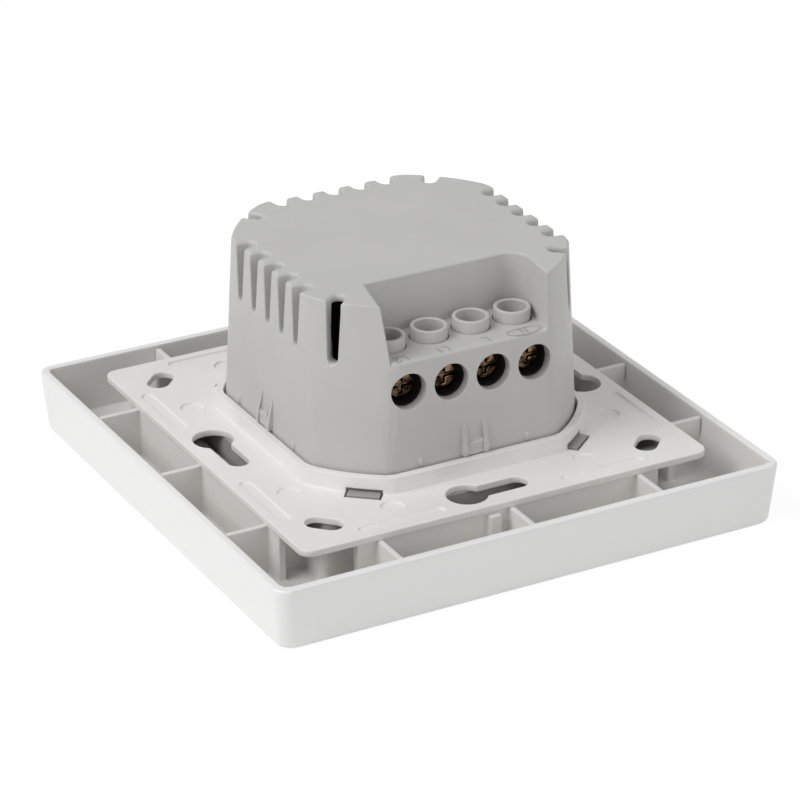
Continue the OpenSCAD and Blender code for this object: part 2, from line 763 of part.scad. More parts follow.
// Small flyback transformer: ferrite core round a wound bobbin
module transformer() {
  y0 = relay_y;
  half_w = relay_w / 2;
  color([0.25, 0.24, 0.23]) difference() {
    union() {
      box(side_x - half_w, side_x + half_w, y0, y0 + core_l, power_top + core_foot, power_top + core_h);
      box(side_x - half_w + 0.1, side_x + half_w - 0.1, y0 + 0.5, y0 + core_l - 0.5,
          power_top, power_top + core_foot + 0.1);
    }
    for (s = [-1, 1]) translate([side_x, y0 + core_l / 2 + s * (core_l / 2 - 1.9), power_top + core_slot_h])
      cube([3 * relay_w, core_slot, core_slot_h], center = true);
  }
}

module reservoir_capacitor() {
  color([0.1, 0.1, 0.16]) translate([side_x, cap_y, power_top]) difference() {
    cylinder(r = cap_r, h = cap_h);
    for (a = [0, 60, 120]) rotate(a) box(-cap_r * 0.7, cap_r * 0.7, -0.1, 0.1, cap_h - 0.2, cap_h + 1);
  }
}

module filter_capacitor() {
  color([0.86, 0.68, 0.12])
    box(filter_x[0], filter_x[1], filter_y - filter_t, filter_y, power_top, power_top + filter_h);
}

module varistor() {
  color([0.1, 0.25, 0.6]) translate([disc_x, filter_y - filter_t / 2 - 0.1, power_top]) {
    translate([0, -disc_t / 2, disc_r + 0.6]) rotate([-90, 0, 0]) cylinder(r = disc_r, h = disc_t);
    for (s = [-1, 1]) translate([s * (disc_r - 1.2), 0, 0]) cylinder(r = lead_r + fit_gap, h = disc_t);
  }
}

module fuse_resistor() {
  color([0.35, 0.5, 0.4]) translate([fuse_x, fuse_y, power_top]) {
    translate([0, 0, fuse_r + 0.5]) rotate([0, 90, 0]) cylinder(r = fuse_r, h = fuse_l);
    for (x = [0.6, fuse_l - 0.6]) translate([x, 0, 0]) cylinder(r = lead_r, h = fuse_r + 0.5);
  }
}

module rectifier() {
  color([0.09, 0.09, 0.09]) translate([fuse_x - 0.4, 1 - bridge_l, power_z - bridge_h])
    cube([bridge_w, bridge_l, bridge_h]);
}

// Square columns on the places of the header's pins
module header_columns(w, z0, z1) {
  for (k = [0:header_n - 1]) translate([(k + 0.5 - header_n / 2) * header_pitch, header_y, z0])
    translate([-w / 2, -w / 2, 0]) cube([w, w, z1 - z0]);
}

module header_socket() {
  half = header_n * header_pitch / 2;
  color([0.08, 0.08, 0.08]) difference() {
    box(-half, half, header_y - header_w / 2, header_y + header_w / 2, logic_top + header_w + 0.2, power_z);
    header_columns(0.9, logic_top, power_z - 1);
  }
}

module pin_header() {
  half = header_n * header_pitch / 2;
  color([0.7, 0.6, 0.3]) {
    box(-half, half, header_y - header_w / 2, header_y + header_w / 2, logic_top, logic_top + header_w);
    header_columns(0.64, logic_top + header_w - 0.1, power_z - 1.6);
  }
}

module insulation_sheet() {
  sheet_z = power_z - 3;
  color([0.9, 0.88, 0.8]) translate([0, 0, sheet_z]) linear_extrude(0.4) difference() {
    clipped_square(body_half - body_wall - 0.8, body_r - body_wall - 0.8);
    for (x = [-1, 1] * boss_x, y = [-1, 1] * boss_y) translate([x, y]) circle(r = tube_r + fit_gap);
    translate([0, header_y]) square([header_n * header_pitch + 0.6, header_w + 0.6], center = true);
  }
}

module logic_board() {
  color([0.08, 0.25, 0.4]) translate([0, 0, logic_z]) linear_extrude(logic_t) difference() {
    clipped_square(body_half - body_wall - 0.6, body_r - body_wall - 0.6);
    for (x = [-1, 1] * boss_x, y = [-1, 1] * boss_y) translate([x, y]) circle(r = tube_r + 0.15);
  }
}

module push_switch(side) {
  color([0.13, 0.13, 0.13]) translate([side * button_x, -press_y, 0]) difference() {
    box(-switch_w / 2, switch_w / 2, -switch_w / 2, switch_w / 2, shell_z + 0.1, logic_z);
    translate([0, 0, shell_z - 1]) cylinder(r = plunger_r + fit_gap, h = logic_z - shell_z + 0.4);
  }
}

module plunger(side) {
  color([0.85, 0.85, 0.83]) translate([side * button_x, -press_y, plunger_tip]) {
    cylinder(r = plunger_r, h = plunger_len);
  }
}

module radio_shield() {
  half_w = shield_w / 2;
  y0 = antenna_y + antenna_foot + antenna_gap;
  color([0.78, 0.79, 0.8]) difference() {
    box(-half_w, half_w, y0, y0 + shield_l, logic_top, logic_top + shield_h);
    box(shield_t - half_w, half_w - shield_t, y0 + shield_t, y0 + shield_l - shield_t,
        logic_top - 1, logic_top + shield_h - shield_t);
  }
}

module antenna() {
  half_w = antenna_w / 2;
  color([0.8, 0.68, 0.38]) {
    box(-half_w, half_w, antenna_y, antenna_y + shield_t, logic_top, logic_top + antenna_h);
    box(-half_w, half_w, antenna_y + shield_t - 0.1, antenna_y + antenna_foot,
        logic_top + antenna_h - shield_t, logic_top + antenna_h);
  }
}

module led(side) {
  color([0.95, 0.93, 0.75]) translate([side * button_x, lens_y, 0])
    box(-led_w / 2, led_w / 2, -led_l / 2, led_l / 2, logic_z - led_h, logic_z);
}

module case_screws() {
  head_z = seat_z - screw_head_t;
  color([0.72, 0.73, 0.75]) for (x = [-1, 1] * boss_x, y = [-1, 1] * boss_y) translate([x, y, 0])
    difference() {
      union() {
        translate([0, 0, head_z]) cylinder(r = screw_head_r, h = screw_head_t);
        translate([0, 0, seat_z - 0.1]) cylinder(r = case_shank_r, h = case_len);
      }
      for (a = [0, 90]) rotate(a) box(-1.2, 1.2, -0.25, 0.25, head_z - 1, head_z + 0.7);
    }
}

cover_frame();
mounting_plate();
rear_housing();
front_shell();
button_at(-1);  // button_left
button_at(1);  // button_right
lens(-1);  // lens_left
lens(1);  // lens_right
pivot_pin(-1);  // pivot_pin_left
pivot_pin(1);  // pivot_pin_right
terminal_block();
wire_guide();
terminal_screw(0);  // terminal_screw_1
terminal_screw(1);  // terminal_screw_2
terminal_screw(2);  // terminal_screw_3
terminal_screw(3);  // terminal_screw_4
clamp_cage(0);  // clamp_cage_1
clamp_cage(1);  // clamp_cage_2
clamp_cage(2);  // clamp_cage_3
clamp_cage(3);  // clamp_cage_4
contact(0);  // contact_1
contact(1);  // contact_2
contact(2);  // contact_3
contact(3);  // contact_4
power_board();
relay(-relay_x[0]);  // relay_left
relay(-relay_x[1]);  // relay_right
transformer();
reservoir_capacitor();
filter_capacitor();
varistor();
fuse_resistor();
rectifier();
header_socket();
pin_header();
insulation_sheet();
logic_board();
push_switch(-1);  // push_switch_left
push_switch(1);  // push_switch_right
plunger(-1);  // plunger_left
plunger(1);  // plunger_right
radio_shield();
antenna();
led(-1);  // led_left
led(1);  // led_right
case_screws();
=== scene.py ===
import itertools
import math

import bmesh
import bpy
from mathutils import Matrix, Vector
from mathutils.bvhtree import BVHTree


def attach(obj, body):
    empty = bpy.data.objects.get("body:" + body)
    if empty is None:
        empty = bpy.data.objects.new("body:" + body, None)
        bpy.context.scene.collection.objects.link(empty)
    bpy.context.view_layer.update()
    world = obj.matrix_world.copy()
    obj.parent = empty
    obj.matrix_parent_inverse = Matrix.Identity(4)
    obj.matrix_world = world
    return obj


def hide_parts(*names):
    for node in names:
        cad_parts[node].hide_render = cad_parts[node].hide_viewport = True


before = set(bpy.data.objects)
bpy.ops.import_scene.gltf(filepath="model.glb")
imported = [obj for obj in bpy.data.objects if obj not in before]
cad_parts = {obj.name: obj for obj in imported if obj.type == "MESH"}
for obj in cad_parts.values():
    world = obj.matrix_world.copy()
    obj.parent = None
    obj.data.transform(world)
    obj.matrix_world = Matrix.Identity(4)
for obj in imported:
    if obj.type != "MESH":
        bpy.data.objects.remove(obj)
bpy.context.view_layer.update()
MM = 0.001


# Camera: a long lens above the left-hand wiring corner, as in a catalogue photograph.
view_azimuth = math.radians(28.689)
view_elevation = math.radians(25.711)
view_target = Vector((2.45, 4.43, 10.46)) * MM
view_distance = 577.1 * MM
focal_mm = 164.8
film_mm = 36
nearest = 10 * MM

look = Vector((
    math.sin(view_azimuth) * math.cos(view_elevation),
    math.cos(view_azimuth) * math.cos(view_elevation),
    -math.sin(view_elevation),
))
lens = bpy.data.cameras.new("catalogue_camera")
lens.lens = focal_mm
lens.sensor_width = film_mm
lens.clip_start = nearest
camera = bpy.data.objects.new("catalogue_camera", lens)
camera.rotation_euler = look.to_track_quat("-Z", "Y").to_euler()
camera.location = view_target - look * view_distance
bpy.context.scene.collection.objects.link(camera)
bpy.context.scene.camera = camera


# Studio: a pale table, a plain white surround and soft boxes to the left and above.
# The camera, mirrors and glass see pure white; the object is lit at a plain level.
class Wire:
    """A socket of a finish. Sums and products of wires add Math nodes."""

    def __init__(self, finish, socket):
        self.finish = finish
        self.socket = socket

    def math(self, operation, *values):
        return self.finish.node("ShaderNodeMath", {"operation": operation}, dict(enumerate(values)))

    def __add__(self, other):
        return self.math("ADD", self, other)

    def __sub__(self, other):
        return self.math("SUBTRACT", self, other)

    def __mul__(self, other):
        return self.math("MULTIPLY", self, other)

    def __pow__(self, other):
        return self.math("POWER", self, other)

    def ramp(self, start, end, low=0.0, high=1.0):
        """Rises smoothly from low to high as the wire goes from start to end."""
        settings = {"interpolation_type": "SMOOTHSTEP"}
        values = {"Value": self, "From Min": start, "From Max": end, "To Min": low, "To Max": high}
        return self.finish.node("ShaderNodeMapRange", settings, values)


class Finish:
    """A material, and the one method that adds nodes to it."""

    def __init__(self, name, node_tree=None):
        if node_tree is None:
            self.material = bpy.data.materials.new(name)
            self.material.use_nodes = True
            node_tree = self.material.node_tree
        self.tree = node_tree

    def node(self, kind, settings=None, sockets=None, output=0):
        added = self.tree.nodes.new(kind)
        for name, value in (settings or {}).items():
            setattr(added, name, value)
        for name, value in (sockets or {}).items():
            self.feed(added, name, value)
        return Wire(self, added.outputs[output])

    def feed(self, node, name, value):
        if isinstance(value, Wire):
            self.tree.links.new(value.socket, node.inputs[name])
        elif hasattr(value, "__len__") and len(value) == 3 and node.inputs[name].type == "RGBA":
            node.inputs[name].default_value = (*value, 1)
        else:
            node.inputs[name].default_value = value

    def surface(self, **values):
        """Feeds the Principled shader; Base_Color stands for its Base Color socket."""
        for name, value in values.items():
            self.feed(self.tree.nodes["Principled BSDF"], name.replace("_", " "), value)

    def blend(self, factor, first, second):
        """Mixes two colours; the numbers are the Mix node's colour sockets."""
        sockets = {0: factor, 6: first, 7: second}
        return self.node("ShaderNodeMix", {"data_type": "RGBA"}, sockets, output=2)

    def place(self):
        """Object coordinates, in metres."""
        return self.node("ShaderNodeTexCoord", output="Object")

    def noise(self, grain, detail=2.0, stretch=None):
        """Noise whose grain is a size in metres; stretch scales the axes first."""
        where = self.place()
        if stretch:
            where = self.node("ShaderNodeMapping", {}, {"Vector": where, "Scale": stretch})
        return self.node("ShaderNodeTexNoise", {}, {"Vector": where, "Scale": 1 / grain, "Detail": detail})

    def axis(self, name):
        """Object coordinate along an axis, in metres."""
        return self.node("ShaderNodeSeparateXYZ", {}, {"Vector": self.place()}, output=name)

    def bump(self, height, depth):
        """Normals for a height from 0 to 1 that stands for depth in metres."""
        return self.node("ShaderNodeBump", {}, {"Height": height, "Distance": depth})


def grey(level, warmth=0.0):
    """Linear colour of a neutral sRGB level from 0 to 255; warmth lowers blue and lifts red."""
    value = ((level / 255 + 0.055) / 1.055) ** 2.4
    return (value * (1 + warmth / 2), value, value * (1 - warmth))


def colour(red, green, blue):
    """Linear colour of sRGB levels from 0 to 255."""
    return tuple(grey(level)[1] for level in (red, green, blue))


def light_path_mix(finish, lit, plain, share=1.0):
    """Shows a share of plain to the camera, mirrors and glass, and lit to everything else."""
    rays = ("Camera", "Glossy", "Transmission")
    camera_ray, glossy_ray, glass_ray = (
        finish.node("ShaderNodeLightPath", output=f"Is {ray} Ray") for ray in rays
    )
    mirrored = glossy_ray.math("MAXIMUM", glossy_ray, glass_ray)
    factor = camera_ray.math("MAXIMUM", mirrored, camera_ray) * share
    return finish.node("ShaderNodeMixShader", {}, {0: factor, 1: lit, 2: plain})


surround = bpy.data.worlds.new("surround")
surround.use_nodes = True
bpy.context.scene.world = surround
sky = Finish("surround", surround.node_tree)
white = (1, 1, 1)
sky_glow = 0.38
sky_lit = sky.node("ShaderNodeBackground", {}, {"Color": white, "Strength": sky_glow})
sky_plain = sky.node("ShaderNodeBackground", {}, {"Color": white, "Strength": 1.0})
sky_seen = light_path_mix(sky, sky_lit, sky_plain)
sky.feed(surround.node_tree.nodes["World Output"], "Surface", sky_seen)

table_half = 3.0
table_drop = 0.05 * MM
table_white = (0.86, 0.86, 0.86)
card_glow = 1.12
glow_share = 0.8
table_mesh = bmesh.new()
bmesh.ops.create_grid(table_mesh, x_segments=4, y_segments=4, size=table_half)
table_data = bpy.data.meshes.new("table")
table_mesh.to_mesh(table_data)
table_mesh.free()
table = bpy.data.objects.new("table", table_data)
table.location.z = -table_drop
bpy.context.scene.collection.objects.link(table)
card = Finish("white_card")
card_lit = card.node("ShaderNodeBsdfDiffuse", {}, {"Color": table_white})
card_plain = card.node("ShaderNodeEmission", {}, {"Color": white, "Strength": card_glow})
card_seen = light_path_mix(card, card_lit, card_plain, glow_share)
card.feed(card.tree.nodes["Material Output"], "Surface", card_seen)
table_data.materials.append(card.material)


soft_box_side = 0.6


def soft_box(name, place, power):
    """A square area lamp at place, in metres, with power in watts, aimed at the middle of the view."""
    lamp = bpy.data.lights.new(name, "AREA")
    lamp.shape = "SQUARE"
    lamp.size = soft_box_side
    lamp.energy = power
    box = bpy.data.objects.new(name, lamp)
    box.location = place
    box.rotation_euler = (view_target - Vector(place)).to_track_quat("-Z", "Y").to_euler()
    bpy.context.scene.collection.objects.link(box)


soft_box("key_box", place=(-0.74, -0.02, 0.78), power=6.3)
soft_box("fill_box", place=(0.40, -0.90, 0.50), power=1.75)
bpy.context.scene.view_settings.view_transform = "Standard"


# Cover frame: one white plastic moulding with a drafted rim, stiffening ribs and a well for the buttons.
# Its outside is polished in the tool, and the inside that faces the wall is left matt and painted darker,
# as painted shade in the well and the pockets under the plate.
# The mounting plate's lugs snap into it.
weld = 0.03 * MM
flat_within = math.radians(0.8)
line_bend = math.radians(40)
skin = 0.02 * MM
fewest_probes, most_probes = 3, 40
look_ahead = 3
room_share = 0.42


def room_beside(edge, surface, reach):
    """Free length on the two faces beside an edge, in metres and at most reach."""
    first, last = (corner.co for corner in edge.verts)
    places = max(fewest_probes, min(most_probes, round(edge.calc_length() / MM)))
    for loop in edge.link_loops:
        into = loop.face.normal.cross(loop.link_loop_next.vert.co - loop.vert.co).normalized()
        for place in range(places):
            for side in (-skin, skin):
                start = first.lerp(last, (place + 0.5) / places) + into * skin + loop.face.normal * side
                distance = surface.ray_cast(start, into, reach)[3]
                reach = reach if distance is None else distance + skin
    return reach


def runs_on(first, second, corner):
    """True where two edges that meet in a corner are nearly one line."""
    come = (corner.co - first.other_vert(corner).co).normalized()
    leave = (second.other_vert(corner).co - corner.co).normalized()
    return come.dot(leave) > math.cos(line_bend)


def rounded(node, name, body, finish, width, steps=2, sharp=30, special=()):
    """Copies a CAD node's mesh, rounds its edges of more than sharp degrees and stands for the node.

    An edge is rounded by width in metres, or by less where the faces beside it are narrow.
    Edges that run on into each other take the least width among them.
    special lists places, radii and widths: edges within a radius of a place aim at that width."""
    mesh = bmesh.new()
    mesh.from_mesh(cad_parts[node].data)
    weight = mesh.edges.layers.float.new("bevel_weight_edge")
    bmesh.ops.remove_doubles(mesh, verts=mesh.verts, dist=weld)
    for _ in range(2):
        bmesh.ops.dissolve_limit(mesh, angle_limit=flat_within, verts=mesh.verts, edges=mesh.edges)
    mesh.normal_update()
    surface = BVHTree.FromBMesh(mesh)
    for face in mesh.faces:
        face.smooth = True
    widths = {}
    for edge in mesh.edges:
        if edge.is_manifold and edge.calc_face_angle(0) > math.radians(sharp):
            middle = (edge.verts[0].co + edge.verts[1].co) / 2
            wishes = [wish for place, radius, wish in special if (middle - place).length < radius]
            wanted = (wishes + [width])[0]
            room = room_beside(edge, surface, look_ahead * wanted)
            widths[edge] = min(wanted, room_share * room)
    lines = []
    for corner in mesh.verts:
        meeting = [edge for edge in corner.link_edges if edge in widths]
        lines += [pair for pair in itertools.combinations(meeting, 2) if runs_on(*pair, corner)]
    while any(widths[first] != widths[second] for first, second in lines):
        for first, second in lines:
            widths[first] = widths[second] = min(widths[first], widths[second])
    widest = max(widths.values())
    for edge, least in widths.items():
        edge[weight] = least / widest
    data = bpy.data.meshes.new(name)
    mesh.to_mesh(data)
    mesh.free()
    data.materials.append(finish.material)
    piece = bpy.data.objects.new(name, data)
    bpy.context.scene.collection.objects.link(piece)
    bevel = piece.modifiers.new("round_edges", "BEVEL")
    bevel.limit_method = "WEIGHT"
    bevel.width = widest
    bevel.segments = steps
    bevel.loop_slide = False
    bevel.use_clamp_overlap = False
    normals = piece.modifiers.new("even_normals", "WEIGHTED_NORMAL")
    normals.keep_sharp = True
    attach(piece, body)
    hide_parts(node)
    return piece


flow_size = 9 * MM
uneven = 0.06
plastic_ior = 1.5


def moulded(name, tone, gloss, grain=0.35 * MM, depth=0.012 * MM, coat=0.0, mottle=0.018):
    """Moulded plastic: faint flow mottling, fine spark-eroded grain and uneven sheen."""
    finish = Finish(name)
    flow = finish.noise(flow_size, 3.0).ramp(0.3, 0.7)
    darker = tuple(c * (1 - mottle) for c in tone)
    lighter = tuple(min(1.0, c * (1 + mottle)) for c in tone)
    pits = finish.noise(grain, 4.0)
    finish.surface(
        Base_Color=finish.blend(flow, darker, lighter),
        Roughness=pits.ramp(0.25, 0.75, gloss - uneven, gloss + uneven),
        Normal=finish.bump(pits, depth),
        Coat_Weight=coat,
        IOR=plastic_ior,
    )
    return finish


frame_tone = grey(244, 0.004)
inside_shade_shares = (0.84, 0.82, 0.80)
polished, matt = 0.34, 0.58
rim_inside, rim_outside = 41.5 * MM, 41.8 * MM
face_inside, face_above = 1.5 * MM, 2.0 * MM
frame_white = moulded("frame_white", frame_tone, polished)
across = frame_white.axis("X").math("ABSOLUTE", frame_white.axis("X"))
along = frame_white.axis("Y").math("ABSOLUTE", frame_white.axis("Y"))
inside = across.math("MAXIMUM", across, along).ramp(rim_inside, rim_outside, 1.0, 0.0)
inside = inside * frame_white.axis("Z").ramp(face_inside, face_above)
# Painted shade: the frame's inside is coloured darker than its outside; only its roughness is a real matt
# finish.
inside_painted_shade = tuple(tone * share for tone, share in zip(frame_tone, inside_shade_shares))
frame_white.surface(
    Base_Color=frame_white.blend(inside, frame_tone, inside_painted_shade),
    Roughness=inside.ramp(0.0, 1.0, polished, matt),
)
rounded("cover_frame", "cover_frame_moulding", "housing", frame_white, 0.25 * MM, sharp=50)


# Mounting plate: a white plastic plate with keyholes, corner slots and a collar round the module.
# It snaps onto the cover frame and is screwed to the wall box through the keyholes.
plate_white = moulded("plate_white", grey(235, 0.02), 0.42)
rounded("mounting_plate", "mounting_plate_moulding", "housing", plate_white, 0.14 * MM)


# Rear housing: light grey heat-resistant plastic with vent grooves, snap catches and the terminal recess.
# It stands in the plate's collar, and the case screws hold it to the front shell.
# Its ledge's front edge is rounded most; the holes, the collars' holes and the recess wall's foot least.
terminal_x = [(-10.95 + 7.2 * n) * MM for n in range(4)]
screw_z = 26.5 * MM
ledge_z = 31.5 * MM
housing_side = -22.9 * MM
hole_reach = 3.3 * MM
collar_y = -16.5 * MM
collar_shift = -0.35 * MM
wall_foot = Vector((-13.0 * MM, -20.8 * MM, ledge_z))
wall_foot_reach = 1.3 * MM
hole_edge, collar_edge, ledge_edge, foot_edge = 0.15 * MM, 0.12 * MM, 0.8 * MM, 0.12 * MM
housing_grey = moulded("housing_grey", grey(195, 0.012), 0.47, grain=0.3 * MM, depth=0.015 * MM)
special_edges = [(Vector((x, housing_side, screw_z)), hole_reach, hole_edge) for x in terminal_x]
special_edges += [
    (Vector((x + collar_shift, collar_y, ledge_z)), hole_reach, collar_edge) for x in terminal_x
]
special_edges.append((Vector((0, housing_side, ledge_z)), hole_reach, ledge_edge))
special_edges.append((wall_foot, wall_foot_reach, foot_edge))
housing = rounded(
    "rear_housing", "rear_housing_shell", "housing", housing_grey, 0.6 * MM, 3,
    special=special_edges,
)


# Ledge marks: the terminals' letters, moulded a hair's breadth proud of the ledge; their darker grey is
# painted shade, standing in for the shade in engraved strokes.
# They read from the wall side; the neutral terminal's letter stands in an oval.
letter_shapes = {
    "L": [[(0, 1), (0, 0), (0.55, 0)]],
    "N": [[(0, 0), (0, 1), (0.68, 0), (0.68, 1)]],
    "1": [[(0.05, 0.78), (0.3, 1), (0.3, 0)]],
    "2": [[(0, 0.78), (0.1, 0.96), (0.3, 1), (0.5, 0.94), (0.56, 0.74), (0.48, 0.52), (0, 0), (0.58, 0)]],
}
letter_advance = {"L": 0.75, "N": 0.68, "1": 0.4, "2": 0.6}


def letter_strokes(text):
    """Strokes of a text as lines of points a unit high, about the text's middle."""
    start, lines = 0, []
    for letter in text:
        lines += [[(x + start, y) for x, y in line] for line in letter_shapes[letter]]
        start += letter_advance[letter]
    return [[(x - start / 2, y - 0.5) for x, y in line] for line in lines]


mark_y = -21.8 * MM
mark_high = 1.5 * MM
mark_stroke = 0.19 * MM
mark_proud = 0.04 * MM
mark_shift = 0.8 * MM
mark_step = 0.25 * MM
mark_weld = 0.005 * MM
oval_shift = 1.35 * MM
oval_half = (2.8 * MM, 0.95 * MM)
oval_points = 48
oval_squareness = 0.75
least_mitre = 0.5
# Painted shade: the letters are coloured darker than the ledge.
mark_shade_grey = moulded("mark_shade_grey", grey(158, 0.02), 0.5)
mark_mesh = bmesh.new()
housing_skin = BVHTree.FromObject(housing, bpy.context.evaluated_depsgraph_get())


def on_ledge(x, y, proud):
    """The point at a height above the ledge's surface, which is rounded off towards its front edge."""
    surface = housing_skin.ray_cast(Vector((x, y, ledge_z + MM)), Vector((0, 0, -1)))[0]
    return surface + Vector((0, 0, proud))


def mark_line(places):
    """A raised ribbon along a line of places, pointed at its corners.

    A line that ends where it starts is a ring."""
    ring = math.dist(places[0], places[-1]) < mark_weld
    fine = [places[0]]
    for start, end in itertools.pairwise(places):
        count = math.ceil(math.dist(start, end) / mark_step)
        fine += [tuple(a + (b - a) * n / count for a, b in zip(start, end)) for n in range(1, count + 1)]
    ways = [(Vector(end) - Vector(start)).normalized() for start, end in itertools.pairwise(fine)]
    rows = []
    for n, place in enumerate(fine):
        come = ways[n - 1] if n or ring else ways[0]
        leave = ways[n] if n < len(ways) else ways[0] if ring else ways[-1]
        across = Vector((-come.y - leave.y, come.x + leave.x)).normalized()
        reach = mark_stroke / 2 / max(least_mitre, across.dot(Vector((-leave.y, leave.x))))
        sides = [Vector(place) + across * reach, Vector(place) - across * reach]
        heights = (mark_proud, -mark_proud)
        rows.append([mark_mesh.verts.new(on_ledge(*side, height)) for height in heights for side in sides])
    for first, second in itertools.pairwise(rows):
        for a, b in ((0, 1), (1, 3), (3, 2), (2, 0)):
            mark_mesh.faces.new((first[a], first[b], second[b], second[a]))
    for end in () if ring else (rows[0], rows[-1]):
        mark_mesh.faces.new((end[0], end[1], end[3], end[2]))


for text, x in zip(("L2", "L1", "L", "N"), terminal_x):
    middle = x - (oval_shift if text == "N" else mark_shift)
    for line in letter_strokes(text):
        mark_line([(middle - u * mark_high, mark_y - v * mark_high) for u, v in line])
    if text == "N":
        angles = [2 * math.pi * n / oval_points for n in range(oval_points + 1)]
        turns = [(math.cos(angle), math.sin(angle)) for angle in angles]
        squarish = [[math.copysign(abs(part) ** oval_squareness, part) for part in turn] for turn in turns]
        mark_line([(middle + oval_half[0] * u, mark_y + oval_half[1] * v) for u, v in squarish])
mark_data = bpy.data.meshes.new("ledge_marks")
bmesh.ops.remove_doubles(mark_mesh, verts=mark_mesh.verts, dist=mark_weld)
bmesh.ops.recalc_face_normals(mark_mesh, faces=mark_mesh.faces)
mark_mesh.to_mesh(mark_data)
mark_mesh.free()
mark_data.materials.append(mark_shade_grey.material)
marks = bpy.data.objects.new("ledge_marks", mark_data)
bpy.context.scene.collection.objects.link(marks)
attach(marks, "housing")


# Front shell: the grey plastic behind the buttons that closes the housing from the front.
# Its four tabs show in the windows of the mounting plate; its grey, darker than the housing's, is painted
# shade for the shadow there.
# Painted shade: the shell is coloured darker than the housing.
shell_shade_grey = moulded("shell_shade_grey", grey(158, 0.03), 0.5)
rounded("front_shell", "front_shell_moulding", "housing", shell_shade_grey, 0.15 * MM)


# Wire guide: a grey plastic strip whose four collars stand out of the ledge and lead the wires in.
# The ledge holds it down on the terminal block.
guide_grey = moulded("guide_grey", grey(197, 0.016), 0.4)
rounded("wire_guide", "wire_guide_moulding", "housing", guide_grey, 0.2 * MM)


# Buttons: two polished white plastic rockers, each with a small clear light bar let in.
# Each turns on a pivot pin in the front shell.
button_white = moulded("button_white", grey(242, 0.002), 0.22, depth=0.003 * MM, coat=0.3)
lens_clear = moulded("lens_clear", colour(226, 238, 243), 0.18, depth=0.002 * MM, coat=0.4)
for side in ("left", "right"):
    rocker = f"rocker_{side}"
    cap = f"button_{side}_cap"
    rounded(f"button_{side}", cap, rocker, button_white, 0.28 * MM, steps=3)
    rounded(f"lens_{side}", f"lens_{side}_bar", rocker, lens_clear, 0.1 * MM)


# Terminal screws and clamp cages: screws of dark passivated steel, whose heads have a cross and a slot,
# and cages folded from brass sheet.
# The terminal block holds the screws in place, and each draws its cage towards the wiring side.
tarnish_size = 1.1 * MM


def metal(name, tone, gloss, stain, depth=0.004 * MM, grain=0.25 * MM):
    """Turned or rolled metal: tool marks, tarnish in patches and brighter scuffs."""
    finish = Finish(name)
    tarnish = finish.noise(tarnish_size, 3.0).ramp(0.35, 0.65)
    scuffs = finish.noise(grain, 3.0, (1.0, 0.25, 1.0))
    finish.surface(
        Base_Color=finish.blend(tarnish, tone, stain),
        Metallic=1.0,
        Roughness=scuffs.ramp(0.2, 0.8, gloss - 0.08, gloss + 0.12),
        Normal=finish.bump(scuffs, depth),
    )
    return finish


bronze = metal("bronze", colour(134, 108, 84), 0.1, colour(30, 23, 18), depth=0.002 * MM, grain=0.4 * MM)
brass = metal("brass", colour(196, 168, 98), 0.3, colour(160, 130, 70))
for n in range(1, 5):
    screw = f"terminal_screw_{n}"
    rounded(screw, f"{screw}_turned", f"screw_{n}", bronze, 0.13 * MM)
    rounded(f"clamp_cage_{n}", f"clamp_cage_{n}_pressed", f"cage_{n}", brass, 0.12 * MM)


# Terminal block: an insulating block with a chamber for each clamp, clipped into the housing; its black is
# painted shade for the dark deep in the screw holes round the heads.
# The fixed contacts in its chambers are bare copper strips soldered into the power board.
# Painted shade: the block is black so that the screw holes look dark round the heads.
block_shade_black = moulded("block_shade_black", grey(34), 0.42, grain=0.2 * MM, depth=0.01 * MM, mottle=0.08)
rounded("terminal_block", "terminal_block_moulding", "housing", block_shade_black, 0.15 * MM)
copper = metal("copper", colour(205, 140, 102), 0.28, colour(150, 92, 62))
for n in range(1, 5):
    rounded(f"contact_{n}", f"contact_{n}_strip", "housing", copper, 0.08 * MM)


# Circuit boards: epoxy glass with solder mask; the power board is green and the logic board blue.
# The mask lies a little higher and lighter over the copper tracks and shows the weave of the glass.
track_cell = 2.2 * MM
thread_pitch = 0.5 * MM
thread_share = 0.12
mask_depth = 0.03 * MM


def board(name, bare, tracked):
    """Solder mask: bare is its colour over the glass, tracked its colour over the copper."""
    finish = Finish(name)
    track_sockets = {
        "Vector": finish.place(), "Scale": 1 / track_cell,
        "Color1": (0, 0, 0), "Color2": (0.4, 0.4, 0.4), "Mortar": white,
        "Mortar Size": 0.09, "Mortar Smooth": 0.3, "Brick Width": 1.4, "Row Height": 0.55,
    }
    tracks = finish.node("ShaderNodeTexBrick", {"offset": 0.37, "squash": 1.6}, track_sockets)
    warp, weft = (finish.axis(name) * (2 * math.pi / thread_pitch) for name in "XY")
    weave = warp.math("SINE", warp) * weft.math("SINE", weft)
    cloud = finish.noise(4 * MM).ramp(0.3, 0.7)
    speckle = finish.blend(cloud, bare, tuple(0.8 * c for c in bare))
    finish.surface(
        Base_Color=finish.blend(tracks, speckle, tracked),
        Roughness=cloud.ramp(0.0, 1.0, 0.26, 0.36),
        Normal=finish.bump(tracks + weave * thread_share, mask_depth),
        Coat_Weight=0.25,
    )
    return finish


green_mask = board("green_board", colour(24, 92, 52), colour(46, 124, 70))
blue_mask = board("blue_board", colour(20, 52, 96), colour(40, 84, 138))
rounded("power_board", "power_board_laminate", "housing", green_mask, 0.06 * MM)
rounded("logic_board", "logic_board_laminate", "housing", blue_mask, 0.06 * MM)


# Relays: two sealed black cases side by side on the power board, soldered in by their pins.
relay_black = moulded("relay_black", grey(40), 0.34, grain=0.25 * MM, depth=0.008 * MM, mottle=0.06)
for side in ("left", "right"):
    rounded(f"relay_{side}", f"relay_{side}_case", "housing", relay_black, 0.3 * MM)


